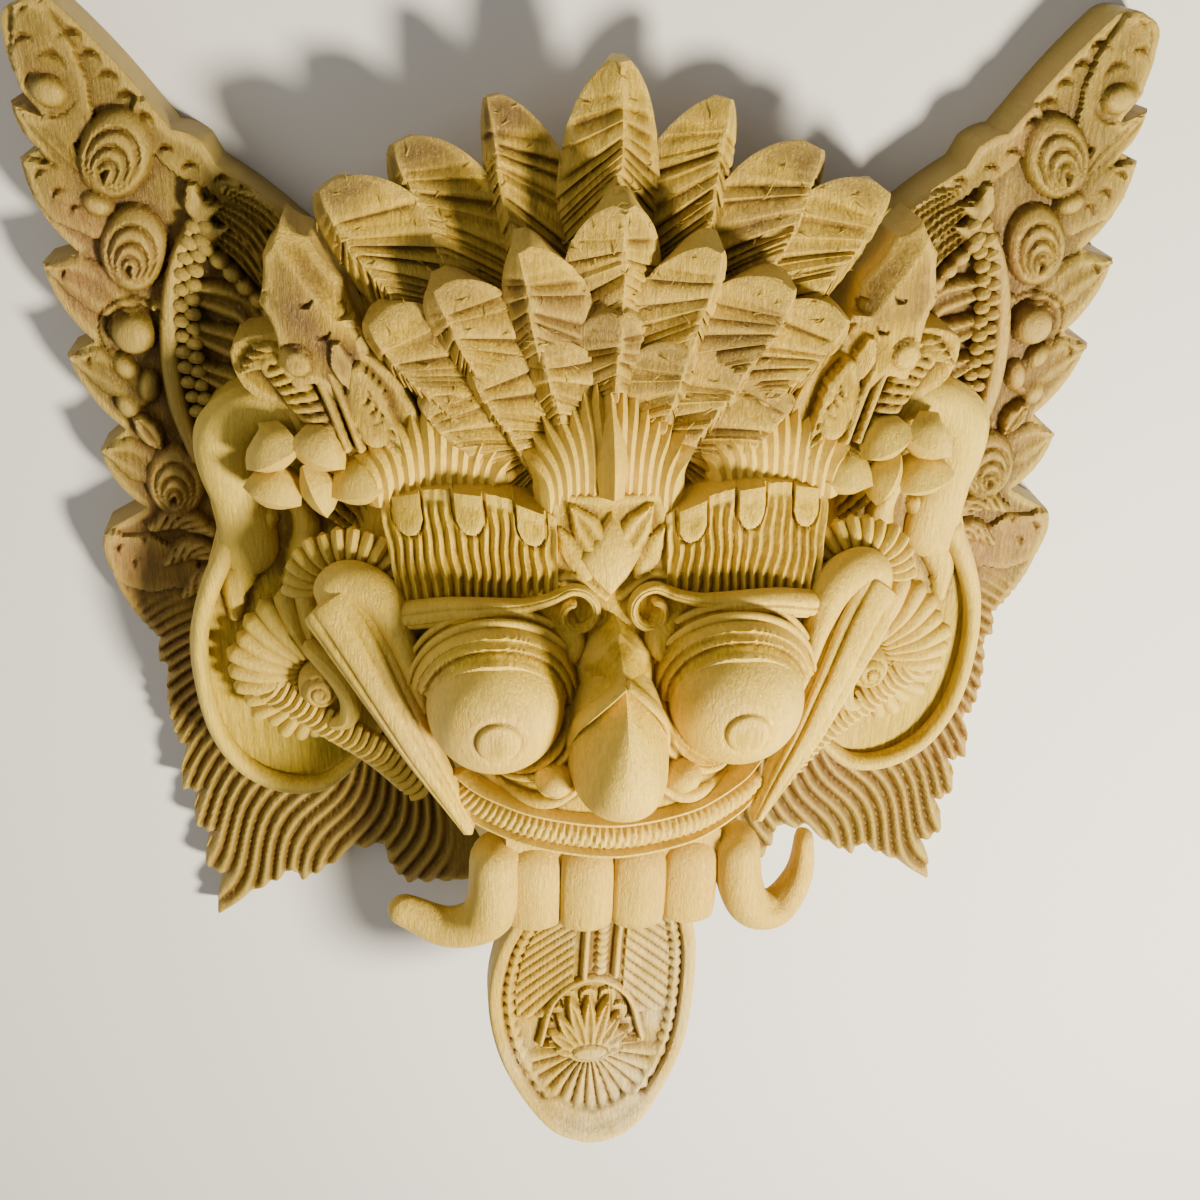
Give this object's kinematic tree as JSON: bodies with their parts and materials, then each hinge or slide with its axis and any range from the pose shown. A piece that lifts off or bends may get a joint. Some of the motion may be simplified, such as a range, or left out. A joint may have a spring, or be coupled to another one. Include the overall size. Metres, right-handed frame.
{
  "type": "rangda mask",
  "caption": "Carved wooden demon mask with a leaf crown, round eyes, tusks, a long curled tongue and leaf-edged wings, hollow at the back.",
  "frame": {"origin": "middle of the flat back, level with the rim that the mask lies on", "axes": "+Y from the tongue to the crown, +Z out of the face, +X to the viewer's right"},
  "size_m": [0.428, 0.469, 0.165],
  "materials": {
    "carved_wood": "dry unvarnished carving wood, pale straw to golden, darker in the cuts"
  },
  "bodies": {
    "root": {"carved_mask": "carved_wood"}
  },
  "joints": []
}
